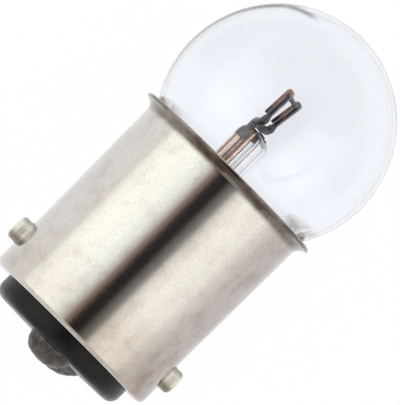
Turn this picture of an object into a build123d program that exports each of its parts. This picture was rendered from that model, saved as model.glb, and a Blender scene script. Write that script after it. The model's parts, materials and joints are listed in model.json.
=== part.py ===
from build123d import *
import os
from math import asin, atan2, cos, degrees, hypot, radians, sin

# Vehicle signal bulb: a small round clear globe on a bayonet cap with two contacts.
# Millimetres, +Z up. The bulb lies on its side on the surface z = 0, as it comes to rest:
# the globe and the foot of the cap touch the surface, and the two pins stand out level.
# In its own frame z runs along its axis from the pins to the globe, y is up and x is
# to its side. Heights below are measured along that axis from the middle of the pins.

# Glass globe, whose round passes the rim of the cap a little inside the shell's line
globe_r = 9.0
globe_rim_gap = 0.3143
globe_stretch = 0.2
glass_wall = 0.55
neck_blend = 1.6
neck_end_z = 4.6

# Drawn cap shell, a little waisted, with a flared rim and a foot rolled in
shell_wall = 0.32
shell_waist_r = 7.55
shell_top_out = 0.11
shell_foot_out = 0.07
foot_z = -2.96
foot_round = 0.5
foot_band_z = -1.4
waist_z = 1.4
flare_z = 13.15
rim_z = 13.9
rim_out = 0.79
rim_round = 0.14

# Cement that holds the neck in the shell
cement_gap = 0.6
cement_low_z = 7.0
cement_top_z = 13.5

# Bayonet pins
pin_r = 1.03
pin_root_r = 0.86
pin_root_length = 0.3
pin_out = 0.88
pin_edge = 0.2
pin_head_r = 1.3
pin_head_length = 0.5

# Moulded insulator in the foot of the shell
insulator_lip = 1.47
insulator_out = 1.72
insulator_crown = 0.14
insulator_edge = 0.85
insulator_depth = 1.2

# Two contacts on the insulator: a brass eyelet, and a dome of solder over it
contact_turn = 15.0
contact_offset = -0.3
eyelet_margin = 0.8
eyelet_r = 1.9
eyelet_plate = 0.25
eyelet_barrel_r = 0.8
dome_r = 2.0
upper_dome_height = 1.35
lower_dome_height = 1.1

# Glass stem: a tube flared to the neck below and pinched flat above
stem_r = 3.2
stem_wall = 0.7
pinch_low_z = 11.4
pinch_full_z = 13.2
pinch_top_z = 17.8
pinch_width = 5.8
pinch_thickness = 2.3
pinch_corner = 1.0
pinch_offset = 0.5

# Exhaust tube inside the stem, drawn off to a closed tip
exhaust_r = 1.1
exhaust_bore_r = 0.5
exhaust_tip_z = 3.4
exhaust_taper = 1.6
exhaust_port_rise = 1.5

# Wires: outer leads, copper-clad seals inside the pinch, and inner leads
mount_turn = 18.0
wire_half_spacing = 1.55
wire_offset = 0.95
outer_lead_r = 0.2
outer_lead_bend = 1.2
outer_lead_down_z = 2.6
outer_lead_across_z = 0.6
outer_lead_into_dome = 0.4
seal_r = 0.17
seal_low_z = 12.2
near_seal_depth = 1.35
far_seal_depth = 0.7

# Inner leads: round at the foot, flattened above and folded over the filament's legs
lead_r = 0.32
shoulder_rise = 0.38
knee_rise = 0.25
lead_bend = 0.35
lead_half_spacing = 2.75
near_knee_offset = 0.33
far_knee_offset = 0.63
lead_tip_offset = 0.2
lead_flattening = 0.55
strap_thickness = 0.22
strap_width = 0.7
fold_gap = 0.12
fold_top_z = 21.65
fold_back = 2.3

# Coiled filament between the two folds
coil_r = 0.17
filament_r = 0.05
coil_pitch_about = 0.9
coil_clearance = 0.15
leg_over = 0.1

# Sizes that follow from those above
shell_top_r = shell_waist_r + shell_top_out
shell_foot_r = shell_waist_r + shell_foot_out
rim_r = shell_top_r + rim_out
globe_z = rim_z + (globe_r**2 - (shell_top_r - globe_rim_gap) ** 2) ** 0.5
pin_span = 2 * (shell_foot_r + pin_out)
insulator_r = shell_foot_r - insulator_lip
contact_half_spacing = insulator_r - eyelet_r - eyelet_margin
neck_r = shell_waist_r - shell_wall - cement_gap
neck_bore_r = neck_r - glass_wall
stem_flare = neck_bore_r - stem_r
near_seal_top_z = pinch_top_z - near_seal_depth
far_seal_top_z = pinch_top_z - far_seal_depth
lead_shoulder_z = pinch_top_z + shoulder_rise
lead_knee_z = lead_shoulder_z + knee_rise
insulator_end_z = foot_z - insulator_out
eyelet_length = insulator_out + shell_wall + insulator_depth
upper_ball_r = (dome_r**2 + upper_dome_height**2) / (2 * upper_dome_height)
upper_ball_z = insulator_end_z - upper_dome_height + upper_ball_r
fold_r = (fold_gap + strap_thickness) / 2
fold_z = fold_top_z - fold_r - strap_thickness / 2

# How the bulb lies: its axis sinks towards the contacts until the foot touches
foot_along = globe_z - foot_z - foot_round
foot_across = shell_foot_r - foot_round
lie = asin((globe_r - foot_round) / hypot(foot_along, foot_across)) - atan2(foot_across, foot_along)
axis_height = globe_r - globe_z * sin(lie)
crown_reach = (globe_z + globe_stretch) * cos(lie) + globe_r
upturn = radians(contact_turn)
contact_rise = contact_half_spacing * cos(upturn) - contact_offset * sin(upturn)
contact_reach = upper_ball_r + contact_rise * sin(lie) - upper_ball_z * cos(lie)
axis_start = (contact_reach - crown_reach) / 2

bulb = Plane(origin=(axis_start, 0, axis_height), x_dir=(0, 1, 0), z_dir=(cos(lie), 0, sin(lie)))
section = Plane(origin=bulb.origin, x_dir=bulb.x_dir, z_dir=-bulb.y_dir)
bulb_axis = Axis(bulb.origin, bulb.z_dir)

# Planes across the axis whose x runs from the far wire to the near one
mount = bulb.moved(Location((0, 0, 0), (0, 0, 90 - mount_turn)))
contacts = bulb.moved(Location((0, 0, 0), (0, 0, 90 - contact_turn)))


def on_mount(along, aside, height):
    """A point of the wires' frame: along their row, aside from the axis, and up it."""
    return mount.from_local_coords((along, -aside, height))


def on_contacts(along, height):
    """A point on the line of the contacts, at a height on the bulb's axis."""
    return contacts.from_local_coords((along, -contact_offset, height))


os.makedirs("parts", exist_ok=True)


def blown_half(inset):
    """Half section of the globe and its neck, drawn in by an inset."""
    round_r = globe_r - inset
    straight_r = neck_r - inset
    join_z = globe_z - (round_r**2 - straight_r**2) ** 0.5
    with BuildSketch() as half:
        with BuildLine():
            crown = CenterArc((0, globe_z + globe_stretch), round_r, 0, 90)
            bowl = CenterArc((0, globe_z), round_r, -90, 90)
            Line(bowl @ 1, crown @ 0)
            Line(crown @ 1, bowl @ 0)
        make_face()
        with Locations((straight_r / 2, neck_end_z)):
            Rectangle(straight_r, globe_z - neck_end_z, align=(Align.CENTER, Align.MIN))
        fillet(half.vertices().sort_by_distance((straight_r, join_z))[0], neck_blend + inset)
    return half.sketch


# The globe's outer form, solid, against which the cement is cast
with BuildPart() as globe_form:
    with BuildSketch(section):
        add(blown_half(0))
    revolve(axis=bulb_axis)

with BuildPart() as glass_globe:
    with BuildSketch(section):
        add(blown_half(0))
        add(blown_half(glass_wall), mode=Mode.SUBTRACT)
    revolve(axis=bulb_axis)
glass_globe.part.label = "glass_globe"
export_step(glass_globe.part, "parts/glass_globe.step")

# Cap shell: one drawn wall, with a hole for each pin
with BuildPart() as cap_shell:
    with BuildSketch(section):
        with BuildLine():
            Polyline(
                (insulator_r, foot_z),
                (shell_foot_r, foot_z),
                (shell_foot_r, foot_band_z),
                (shell_waist_r, waist_z),
                (shell_top_r, flare_z),
            )
            TangentArc((shell_top_r, flare_z), (rim_r, rim_z), tangent=(0, 1))
            offset(amount=shell_wall, side=Side.LEFT)
        make_face()
        fillet(vertices().sort_by_distance((shell_foot_r, foot_z))[0], foot_round)
        inner_corner = (shell_foot_r - shell_wall, foot_z + shell_wall)
        chamfer(vertices().sort_by_distance(inner_corner)[0], foot_round - shell_wall)
        fillet(vertices().sort_by_distance((rim_r, rim_z))[0:2], rim_round)
    revolve(axis=bulb_axis)
    with BuildSketch(Plane(origin=bulb.origin, x_dir=bulb.z_dir, z_dir=bulb.x_dir)):
        Circle(pin_root_r)
    extrude(amount=rim_r, both=True, mode=Mode.SUBTRACT)
cap_shell.part.label = "cap_shell"
export_step(cap_shell.part, "parts/cap_shell.step")

# Cement between the neck and the shell
with BuildPart() as basing_cement:
    with BuildSketch(section):
        with Locations(((neck_bore_r + neck_r) / 2, cement_low_z)):
            Rectangle(
                shell_top_r - (shell_wall + neck_bore_r + neck_r) / 2,
                cement_top_z - cement_low_z,
                align=(Align.MIN, Align.MIN),
            )
    revolve(axis=bulb_axis)
    add(globe_form.part, mode=Mode.SUBTRACT)
    add(cap_shell.part, mode=Mode.SUBTRACT)
basing_cement.part.label = "basing_cement"
export_step(basing_cement.part, "parts/basing_cement.step")


def bayonet_pin(side):
    """A pin riveted through the shell: head inside, narrow root in the wall, round body."""
    wall_r = shell_waist_r + (shell_foot_r - shell_waist_r) / 2
    head_face = ((wall_r - shell_wall) ** 2 - pin_head_r**2) ** 0.5
    along = Plane(origin=bulb.origin, x_dir=side * bulb.x_dir, z_dir=bulb.y_dir)
    with BuildPart() as pin:
        with BuildSketch(along):
            with BuildLine():
                Polyline(
                    (head_face - pin_head_length, 0),
                    (head_face - pin_head_length, pin_head_r),
                    (head_face, pin_head_r),
                    (head_face, pin_root_r),
                    (wall_r + pin_root_length, pin_root_r),
                    (wall_r + pin_root_length, pin_r),
                    (pin_span / 2, pin_r),
                    (pin_span / 2, 0),
                    close=True,
                )
            make_face()
            fillet(vertices().sort_by_distance((pin_span / 2, pin_r))[0], pin_edge)
        revolve(axis=Axis(bulb.origin, bulb.x_dir))
    return pin


left_pin = bayonet_pin(1)
left_pin.part.label = "bayonet_pin_left"
export_step(left_pin.part, "parts/bayonet_pin_left.step")

right_pin = bayonet_pin(-1)
right_pin.part.label = "bayonet_pin_right"
export_step(right_pin.part, "parts/bayonet_pin_right.step")


def contact_eyelet(side):
    """A flat plate on the insulator with a barrel through it and a bore for the wire."""
    at = contacts.offset(insulator_end_z)
    with BuildPart() as eyelet:
        with BuildSketch(at):
            with Locations((side * contact_half_spacing, -contact_offset)):
                Circle(eyelet_r)
        extrude(amount=eyelet_plate)
        with BuildSketch(at):
            with Locations((side * contact_half_spacing, -contact_offset)):
                Circle(eyelet_barrel_r)
        extrude(amount=eyelet_length)
        with BuildSketch(at):
            with Locations((side * contact_half_spacing, -contact_offset)):
                Circle(outer_lead_r)
        extrude(amount=eyelet_length, mode=Mode.SUBTRACT)
    return eyelet


upper_eyelet = contact_eyelet(1)
upper_eyelet.part.label = "contact_eyelet_upper"
export_step(upper_eyelet.part, "parts/contact_eyelet_upper.step")

lower_eyelet = contact_eyelet(-1)
lower_eyelet.part.label = "contact_eyelet_lower"
export_step(lower_eyelet.part, "parts/contact_eyelet_lower.step")

# Insulator: a nose below the foot and a wider disc inside the shell, moulded round the eyelets
with BuildPart() as insulator:
    disc_r = shell_foot_r - shell_wall
    disc_low_z = foot_z + shell_wall
    with BuildSketch(section):
        with BuildLine():
            crown_point = (0, insulator_end_z)
            edge_point = (insulator_r, insulator_end_z + insulator_crown)
            mid_r = insulator_r / 2
            ThreePointArc(crown_point, (mid_r, insulator_end_z + insulator_crown / 4), edge_point)
            Polyline(
                edge_point,
                (insulator_r, disc_low_z),
                (disc_r, disc_low_z),
                (disc_r, disc_low_z + insulator_depth),
                (0, disc_low_z + insulator_depth),
                crown_point,
            )
        make_face()
        fillet(vertices().sort_by_distance(edge_point)[0], insulator_edge)
        chamfer(vertices().sort_by_distance((disc_r, disc_low_z))[0], foot_round - shell_wall)
    revolve(axis=bulb_axis)
    for radius, depth in ((eyelet_r, eyelet_plate), (eyelet_barrel_r, eyelet_length)):
        with BuildSketch(contacts.offset(insulator_end_z)):
            with Locations((0, -contact_offset)):
                with GridLocations(2 * contact_half_spacing, 0, 2, 1):
                    Circle(radius)
        extrude(amount=depth, mode=Mode.SUBTRACT)
insulator.part.label = "insulator"
export_step(insulator.part, "parts/insulator.step")


def solder_dome(side, height):
    """A spherical dome of solder on its eyelet, round the end of the wire."""
    middle = contacts.from_local_coords((side * contact_half_spacing, -contact_offset, insulator_end_z))
    ball_r = (dome_r**2 + height**2) / (2 * height)
    swept_angle = degrees(atan2(dome_r, ball_r - height))
    with BuildPart() as dome:
        with BuildSketch(Plane(origin=middle, x_dir=contacts.x_dir, z_dir=-contacts.y_dir)):
            with BuildLine():
                skin = CenterArc((0, ball_r - height), ball_r, -90, swept_angle)
                Polyline(skin @ 1, (0, 0), skin @ 0)
            make_face()
        revolve(axis=Axis(middle, bulb.z_dir))
        with BuildSketch(contacts.offset(insulator_end_z)):
            with Locations((side * contact_half_spacing, -contact_offset)):
                Circle(outer_lead_r)
        extrude(amount=-outer_lead_into_dome, mode=Mode.SUBTRACT)
    return dome


upper_dome = solder_dome(1, upper_dome_height)
upper_dome.part.label = "solder_contact_upper"
export_step(upper_dome.part, "parts/solder_contact_upper.step")

lower_dome = solder_dome(-1, lower_dome_height)
lower_dome.part.label = "solder_contact_lower"
export_step(lower_dome.part, "parts/solder_contact_lower.step")

# Stem: flared tube, drawn in to a pinch that stands a little aside, with bores for the wires
with BuildPart() as glass_stem:
    with BuildSketch(section):
        with BuildLine():
            Line((stem_r, pinch_low_z), (stem_r, neck_end_z + stem_flare))
            CenterArc((neck_bore_r, neck_end_z + stem_flare), stem_flare, 180, 90)
            Line((neck_bore_r, neck_end_z), (neck_r, neck_end_z))
            offset(amount=stem_wall, side=Side.RIGHT)
        make_face()
    revolve(axis=bulb_axis)
    with BuildSketch(mount.offset(pinch_low_z)):
        Circle(stem_r)
    with BuildSketch(mount.offset(pinch_full_z)):
        with Locations((0, -pinch_offset)):
            RectangleRounded(pinch_width, pinch_thickness, pinch_corner)
    loft()
    with BuildSketch(mount.offset(pinch_full_z)):
        with Locations((0, -pinch_offset)):
            RectangleRounded(pinch_width, pinch_thickness, pinch_corner)
    extrude(amount=pinch_top_z - pinch_full_z)
    fillet(faces().sort_by(bulb_axis)[-1].edges(), pinch_corner / 2)
    with BuildSketch(mount.offset(pinch_low_z)):
        with Locations((0, -wire_offset)):
            with GridLocations(2 * wire_half_spacing, 0, 2, 1):
                Circle(outer_lead_r)
    extrude(amount=seal_low_z - pinch_low_z, mode=Mode.SUBTRACT)
    for side, seal_top_z in ((1, near_seal_top_z), (-1, far_seal_top_z)):
        with BuildSketch(mount.offset(seal_low_z)):
            with Locations((side * wire_half_spacing, -wire_offset)):
                Circle(seal_r)
        extrude(amount=seal_top_z - seal_low_z, mode=Mode.SUBTRACT)
        with BuildSketch(mount.offset(seal_top_z)):
            with Locations((side * wire_half_spacing, -wire_offset)):
                Circle(lead_r)
        extrude(amount=pinch_top_z - seal_top_z, mode=Mode.SUBTRACT)
    with BuildSketch(bulb.offset(pinch_low_z)):
        Circle(exhaust_bore_r)
    extrude(amount=exhaust_port_rise, mode=Mode.SUBTRACT)
    port = Plane(on_mount(0, 0, pinch_low_z + exhaust_port_rise), z_dir=-mount.y_dir)
    with BuildSketch(port):
        Circle(exhaust_bore_r)
    extrude(amount=-stem_r, mode=Mode.SUBTRACT)
glass_stem.part.label = "glass_stem"
export_step(glass_stem.part, "parts/glass_stem.step")

# Exhaust tube, open into the pinch above and drawn to a closed tip below
with BuildPart() as exhaust_tube:
    with BuildSketch(section):
        with BuildLine():
            Polyline(
                (exhaust_bore_r, pinch_low_z),
                (exhaust_r, pinch_low_z),
                (exhaust_r, exhaust_tip_z + exhaust_taper),
            )
            tip = Spline(
                (exhaust_r, exhaust_tip_z + exhaust_taper),
                (0, exhaust_tip_z),
                tangents=((0, -1), (-1, 0)),
            )
            Polyline(
                tip @ 1,
                (0, exhaust_tip_z + exhaust_taper),
                (exhaust_bore_r, exhaust_tip_z + exhaust_taper),
                (exhaust_bore_r, pinch_low_z),
            )
        make_face()
    revolve(axis=bulb_axis)
exhaust_tube.part.label = "exhaust_tube"
export_step(exhaust_tube.part, "parts/exhaust_tube.step")


def seal_wire(side, seal_top_z):
    """The copper-clad length of a lead, sealed in the pinch."""
    with BuildPart() as wire:
        with BuildSketch(mount.offset(seal_low_z)):
            with Locations((side * wire_half_spacing, -wire_offset)):
                Circle(seal_r)
        extrude(amount=seal_top_z - seal_low_z)
    return wire


near_seal = seal_wire(1, near_seal_top_z)
near_seal.part.label = "seal_wire_near"
export_step(near_seal.part, "parts/seal_wire_near.step")

far_seal = seal_wire(-1, far_seal_top_z)
far_seal.part.label = "seal_wire_far"
export_step(far_seal.part, "parts/seal_wire_far.step")


def outer_lead(side):
    """A wire from the pinch down the stem, out to its eyelet and into the solder."""
    top = on_mount(side * wire_half_spacing, wire_offset, seal_low_z)
    with BuildPart() as lead:
        with BuildLine():
            FilletPolyline(
                top,
                on_mount(side * wire_half_spacing, wire_offset, outer_lead_down_z),
                on_contacts(side * contact_half_spacing, outer_lead_across_z),
                on_contacts(side * contact_half_spacing, insulator_end_z - outer_lead_into_dome),
                radius=outer_lead_bend,
            )
        with BuildSketch(Plane(top, x_dir=mount.x_dir, z_dir=bulb.z_dir)):
            Circle(outer_lead_r)
        sweep()
    return lead


near_outer = outer_lead(1)
near_outer.part.label = "outer_lead_near"
export_step(near_outer.part, "parts/outer_lead_near.step")

far_outer = outer_lead(-1)
far_outer.part.label = "outer_lead_far"
export_step(far_outer.part, "parts/outer_lead_far.step")


def inner_lead(side, seal_top_z, knee_offset):
    """A round foot bent outwards, flattened above into a strap that folds back on itself."""
    foot = on_mount(side * wire_half_spacing, wire_offset, seal_top_z)
    shoulder = on_mount(side * wire_half_spacing, wire_offset, lead_shoulder_z)
    knee = on_mount(side * lead_half_spacing, knee_offset, lead_knee_z)
    tip = on_mount(side * lead_half_spacing, lead_tip_offset, fold_z)
    up = (tip - knee).normalized()
    round_end = knee + up * lead_bend
    flat_start = round_end + up * lead_flattening
    fold_side = Plane(origin=knee, x_dir=up.cross(mount.x_dir), z_dir=mount.x_dir)
    rise = (tip - knee).length
    flat_rise = (flat_start - knee).length
    with BuildPart() as lead:
        with BuildLine():
            FilletPolyline(foot, shoulder, knee, round_end, radius=lead_bend)
        with BuildSketch(Plane(foot, x_dir=mount.x_dir, z_dir=bulb.z_dir)):
            Circle(lead_r)
        sweep()
        with BuildSketch(Plane(round_end, x_dir=mount.x_dir, z_dir=up)):
            Circle(lead_r)
        with BuildSketch(Plane(flat_start, x_dir=mount.x_dir, z_dir=up)):
            Rectangle(strap_width, strap_thickness)
        loft()
        with BuildSketch(fold_side):
            with BuildLine():
                Line((0, flat_rise), (0, rise))
                CenterArc((-fold_r, rise), fold_r, 0, 180)
                Line((-2 * fold_r, rise), (-2 * fold_r, rise - fold_back))
            trace(line_width=strap_thickness)
        extrude(amount=strap_width / 2, both=True)
    return lead


near_lead = inner_lead(1, near_seal_top_z, near_knee_offset)
near_lead.part.label = "inner_lead_near"
export_step(near_lead.part, "parts/inner_lead_near.step")

far_lead = inner_lead(-1, far_seal_top_z, far_knee_offset)
far_lead.part.label = "inner_lead_far"
export_step(far_lead.part, "parts/inner_lead_far.step")

# Filament: a coil between the straps, with a straight leg through each fold
leg_offset = lead_tip_offset + fold_r
leg_z = fold_z + fold_gap / 2 - filament_r
leg_length = strap_width + leg_over
coil_length = 2 * lead_half_spacing - strap_width - 2 * coil_clearance
turns = round(coil_length / coil_pitch_about)
coil_start = on_mount(-coil_length / 2, leg_offset, leg_z - coil_r)
coil_seat = Plane(coil_start, x_dir=bulb.z_dir, z_dir=mount.x_dir)
coil = coil_seat * Helix(coil_length / turns, coil_length, coil_r, mode=Mode.PRIVATE)

leg_start = coil @ 0 - mount.x_dir * coil_clearance
leg_end = coil @ 1 + mount.x_dir * coil_clearance

with BuildPart() as filament:
    with BuildLine():
        Line(leg_start - mount.x_dir * leg_length, leg_start)
        Spline(leg_start, coil @ 0, tangents=(mount.x_dir, coil % 0))
        add(coil)
        Spline(coil @ 1, leg_end, tangents=(coil % 1, mount.x_dir))
        Line(leg_end, leg_end + mount.x_dir * leg_length)
    with BuildSketch(Plane(leg_start - mount.x_dir * leg_length, z_dir=mount.x_dir)):
        Circle(filament_r)
    sweep()
filament.part.label = "filament"
export_step(filament.part, "parts/filament.step")
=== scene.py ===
"""The looks of a small vehicle signal bulb: clear globe, glass mount and plated bayonet cap.

Every piece is modelled upright in the bulb's own frame, in which z runs along the axis from
the pins to the globe, y faces up and x runs to the left pin, and is then laid where the
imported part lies.
"""

import json
import math

import bmesh
import bpy
from bpy.props import FloatProperty, FloatVectorProperty, IntProperty, PointerProperty
from mathutils import Matrix, Vector


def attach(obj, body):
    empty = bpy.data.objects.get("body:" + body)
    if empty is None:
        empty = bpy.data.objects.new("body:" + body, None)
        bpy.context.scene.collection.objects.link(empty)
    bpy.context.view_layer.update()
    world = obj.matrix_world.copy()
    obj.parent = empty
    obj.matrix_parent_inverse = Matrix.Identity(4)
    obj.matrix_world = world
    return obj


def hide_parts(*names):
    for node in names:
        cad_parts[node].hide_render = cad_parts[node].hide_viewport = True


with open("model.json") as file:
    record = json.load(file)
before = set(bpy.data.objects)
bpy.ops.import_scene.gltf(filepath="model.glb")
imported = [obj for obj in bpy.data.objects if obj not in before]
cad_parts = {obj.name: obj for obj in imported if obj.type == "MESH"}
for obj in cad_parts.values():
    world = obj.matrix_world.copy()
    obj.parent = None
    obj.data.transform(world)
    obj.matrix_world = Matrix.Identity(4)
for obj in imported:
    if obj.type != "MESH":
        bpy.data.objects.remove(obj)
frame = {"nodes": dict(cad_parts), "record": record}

bl_info = {
    "name": "Vehicle signal bulb",
    "version": (1, 0, 0),
    "blender": (4, 5, 0),
    "location": "View3D > Sidebar > Bulb",
    "description": "Models and finishes a small round signal bulb on a two-contact bayonet cap",
    "category": "Object",
}

MM = 0.001
PHOTO_HEIGHT = 405

# Middle of the picture from the point between the pins, in pixels
AIM_RIGHT, AIM_UP = 104.3, 102.5


def mount_of(name):
    """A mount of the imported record."""
    return next(m for m in frame["record"]["mounts"] if m["name"] == name)


def lying_frame():
    """From the bulb's own frame to the one it lies in, as the record's mounts give it."""
    side = Vector(mount_of("pin_left")["axis"])
    along = -Vector(mount_of("cap_foot")["axis"])
    pins = [Vector(mount_of(name)["pos_m"]) for name in ("pin_left", "pin_right")]
    turned = Matrix((side, along.cross(side), along)).transposed().to_4x4()
    return Matrix.Translation((pins[0] + pins[1]) / 2) @ turned


LYING = lying_frame()

# The flare of the rim, as shares of its spread and of its height
FLARE = (
    (0.01, 0.1), (0.05, 0.26), (0.13, 0.42), (0.26, 0.58), (0.44, 0.73), (0.66, 0.86),
    (0.86, 0.95), (1.0, 1.0),
)

# Across and up over the face of the globe, as the painted reflections on its glass lie
GLASS_ASIDE = (0.9925, -0.122, 0.0)
GLASS_RISE = (0.0, 0.052, 0.9986)

# Colours of those painted reflections
GLASS_REFLECTION_LINE = (0.010, 0.011, 0.012)
GLASS_RIM_REFLECTION = (0.5, 0.46, 0.43)

# Share of the floor's look that is its own glow, which keeps its shadow faint
FLOOR_GLOW = 0.985

# Light of the room by the turn round the bulb's axis, in degrees from straight up
ROOM_ROUND = (
    (-180, (0.90, 0.90, 0.90)), (-90, (0.92, 0.91, 0.90)), (-77, (0.99, 0.97, 0.95)),
    (-60, (1.19, 1.18, 1.13)), (-37, (1.28, 1.27, 1.22)), (-23, (1.12, 1.10, 1.04)),
    (-17, (0.86, 0.83, 0.78)), (-12, (0.30, 0.29, 0.275)), (-6, (0.17, 0.165, 0.16)),
    (1, (0.02, 0.018, 0.018)), (11, (0.03, 0.024, 0.024)), (18, (0.30, 0.22, 0.19)),
    (25, (0.82, 0.80, 0.78)), (32, (1.16, 1.21, 1.20)), (46, (1.38, 1.42, 1.36)),
    (69, (1.43, 1.45, 1.38)), (85, (1.33, 1.34, 1.28)), (94, (1.0, 1.0, 0.97)),
    (180, (0.90, 0.90, 0.90)),
)

# Light of the room beyond the globe and beyond the contacts
ROOM_BY_GLOBE = (1.12, 1.11, 1.06)
ROOM_BY_CONTACTS = (0.8, 0.78, 0.75)

WHITE = (1.0, 1.0, 1.0)


def size(name, default, description):
    """A length in metres, given here in millimetres."""
    return FloatProperty(
        name=name, description=description, default=default * MM, min=-0.1, max=0.1,
        precision=5, unit="LENGTH", subtype="DISTANCE",
    )


def tint(name, default, description):
    """A colour of a finish."""
    return FloatVectorProperty(
        name=name, description=description, default=default, min=0.0, max=1.0, size=3,
        subtype="COLOR",
    )


class GlassSettings(bpy.types.PropertyGroup):
    globe_radius: size("Globe radius", 9.0, "Outer radius of the round globe")
    globe_height: size("Globe height", 19.1, "Middle of the globe above the pins")
    globe_stretch: size("Globe stretch", 0.2, "How much the crown is drawn out")
    wall: size("Glass wall", 0.3, "Thickness of the blown glass")
    neck_radius: size("Neck radius", 6.63, "Outer radius of the straight neck")
    neck_end: size("Neck end", 4.6, "Foot of the neck above the pins")
    neck_blend: size("Neck blend", 1.6, "Rounding between the globe and the neck")
    stem_radius: size("Stem radius", 3.2, "Outer radius of the stem's tube")
    stem_wall: size("Stem wall", 0.7, "Thickness of the stem's tube")
    pinch_low: size("Pinch foot", 11.4, "Where the stem's tube starts to flatten")
    pinch_full: size("Pinch shoulder", 13.2, "Where the stem is pinched flat")
    pinch_top: size("Pinch top", 17.8, "Top of the flat pinch")
    pinch_width: size("Pinch width", 5.8, "Width of the pinch")
    pinch_thickness: size("Pinch thickness", 2.12, "Thickness of the pinch")
    pinch_corner: size("Pinch corner", 1.0, "Rounding of the pinch's sides")
    pinch_offset: size("Pinch offset", 0.41, "How far the pinch stands aside from the axis")
    clear: tint("Clear glass", (0.935, 0.955, 0.99), "Tint of the blown glass")
    stem_tint: tint("Stem glass", (0.93, 0.95, 0.96), "Tint of the stem's glass")


class CapSettings(bpy.types.PropertyGroup):
    wall: size("Shell wall", 0.32, "Thickness of the drawn shell")
    foot_radius: size("Foot radius", 7.62, "Outer radius of the foot")
    waist_radius: size("Waist radius", 7.55, "Outer radius at the waist")
    top_radius: size("Top radius", 7.66, "Outer radius below the rim")
    rim_radius: size("Rim radius", 8.45, "Outer radius of the flared rim")
    foot_height: size("Foot height", -2.96, "Foot of the shell below the pins")
    foot_round: size("Foot rounding", 0.5, "Rounding of the rolled-in foot")
    band_height: size("Foot band", -1.4, "Top of the straight band at the foot")
    waist_height: size("Waist height", 1.4, "Where the shell is narrowest")
    flare_height: size("Flare height", 13.15, "Where the rim starts to flare")
    rim_height: size("Rim height", 13.9, "Outer edge of the flared rim")
    pin_radius: size("Pin radius", 1.0, "Radius of a bayonet pin")
    pin_root_radius: size("Pin root radius", 1.12, "Radius of a pin where it leaves the shell")
    pin_root: size("Pin root", 0.28, "Length of a pin's spread root")
    pin_reach: size("Pin reach", 8.5, "End of a pin from the axis")
    pin_edge: size("Pin edge", 0.3, "Rounding of a pin's end")
    nickel: tint("Nickel plating", (0.73, 0.705, 0.67), "Colour of the plated shell")
    nickel_dull: tint("Dull nickel", (0.645, 0.615, 0.575), "Colour of its duller patches")
    pin_tone: tint("Pin nickel", (0.86, 0.83, 0.75), "Colour of the plated pins")


class ContactSettings(bpy.types.PropertyGroup):
    insulator_radius: size("Insulator radius", 6.15, "Radius of the black insulator's nose")
    insulator_out: size("Insulator nose", 1.72, "How far it stands out of the foot")
    insulator_crown: size("Insulator crown", 0.14, "Rise of its end towards the middle")
    insulator_edge: size("Insulator edge", 0.85, "Rounding of its edge")
    insulator_depth: size("Insulator depth", 1.2, "Its thickness inside the shell")
    turn: FloatProperty(
        name="Contact turn", description="How far the row of contacts leans from upright",
        default=math.radians(15.0), unit="ROTATION", subtype="ANGLE",
    )
    spacing: size("Contact spacing", 3.45, "Middle of a contact from the middle of the row")
    aside: size("Contact offset", 0.3, "How far the row stands aside from the axis")
    dome_radius: size("Solder radius", 2.0, "Radius of a solder dome")
    upper_height: size("Upper solder", 1.35, "Height of the upper solder dome")
    lower_height: size("Lower solder", 1.1, "Height of the lower solder dome")
    black: tint("Black glass", (0.012, 0.011, 0.012), "Colour of the insulator")
    solder: tint("Solder", (0.052, 0.045, 0.043), "Colour of the dull solder")
    solder_light: tint("Bright solder", (0.145, 0.13, 0.122), "Colour of its rubbed spots")


class MountSettings(bpy.types.PropertyGroup):
    turn: FloatProperty(
        name="Mount turn", description="How far the row of wires leans from upright",
        default=math.radians(18.0), unit="ROTATION", subtype="ANGLE",
    )
    coil_radius: size("Coil radius", 0.16, "Radius of the filament's turns")
    wire_radius: size("Filament wire", 0.03, "Radius of the filament's wire")
    coil_length: size("Coil length", 4.5, "Length of the coil between the leads")
    coil_height: size("Coil height", 21.21, "Height of the coil above the pins")
    coil_aside: size("Coil offset", 0.37, "How far the coil stands aside from the axis")
    coil_turns: IntProperty(
        name="Coil turns", description="Turns of the filament's coil", default=34, min=4, max=80
    )
    lead: tint("Lead wire", (0.095, 0.096, 0.10), "Colour of the plated iron leads")
    strap: tint("Strap", (0.026, 0.017, 0.018), "Colour of their flattened straps")
    heated: tint("Heated strap", (0.36, 0.20, 0.145), "Colour where the straps were heated")
    knob: tint("Far fold", (0.22, 0.23, 0.20), "Colour of the far strap's fold")
    copper: tint("Copper", (0.95, 0.66, 0.53), "Colour of the copper-clad wires")
    tungsten: tint("Tungsten", (0.20, 0.21, 0.21), "Colour of the filament")


class StageSettings(bpy.types.PropertyGroup):
    pixels_per_mm: FloatProperty(
        name="Scale", description="Pixels of the picture to a millimetre at the pins",
        default=13.36, min=1.0, max=100.0,
    )
    distance: FloatProperty(
        name="Distance", description="From the camera to the bulb", default=0.75,
        unit="LENGTH", subtype="DISTANCE",
    )
    tip: FloatProperty(
        name="Tip", description="How far the camera stands towards the contacts",
        default=math.radians(2.0), unit="ROTATION", subtype="ANGLE",
    )
    roll: FloatProperty(
        name="Roll", description="How far the camera stands towards the left pin",
        default=math.radians(7.0), unit="ROTATION", subtype="ANGLE",
    )
    floor_width: FloatProperty(
        name="Floor width", description="Width of the white floor", default=0.16,
        unit="LENGTH", subtype="DISTANCE",
    )
    floor: tint("Floor", (0.92, 0.92, 0.92), "Colour of the floor")


class BulbSettings(bpy.types.PropertyGroup):
    glass: PointerProperty(type=GlassSettings)
    cap: PointerProperty(type=CapSettings)
    contacts: PointerProperty(type=ContactSettings)
    mount: PointerProperty(type=MountSettings)
    stage: PointerProperty(type=StageSettings)


# Modelling


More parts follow.
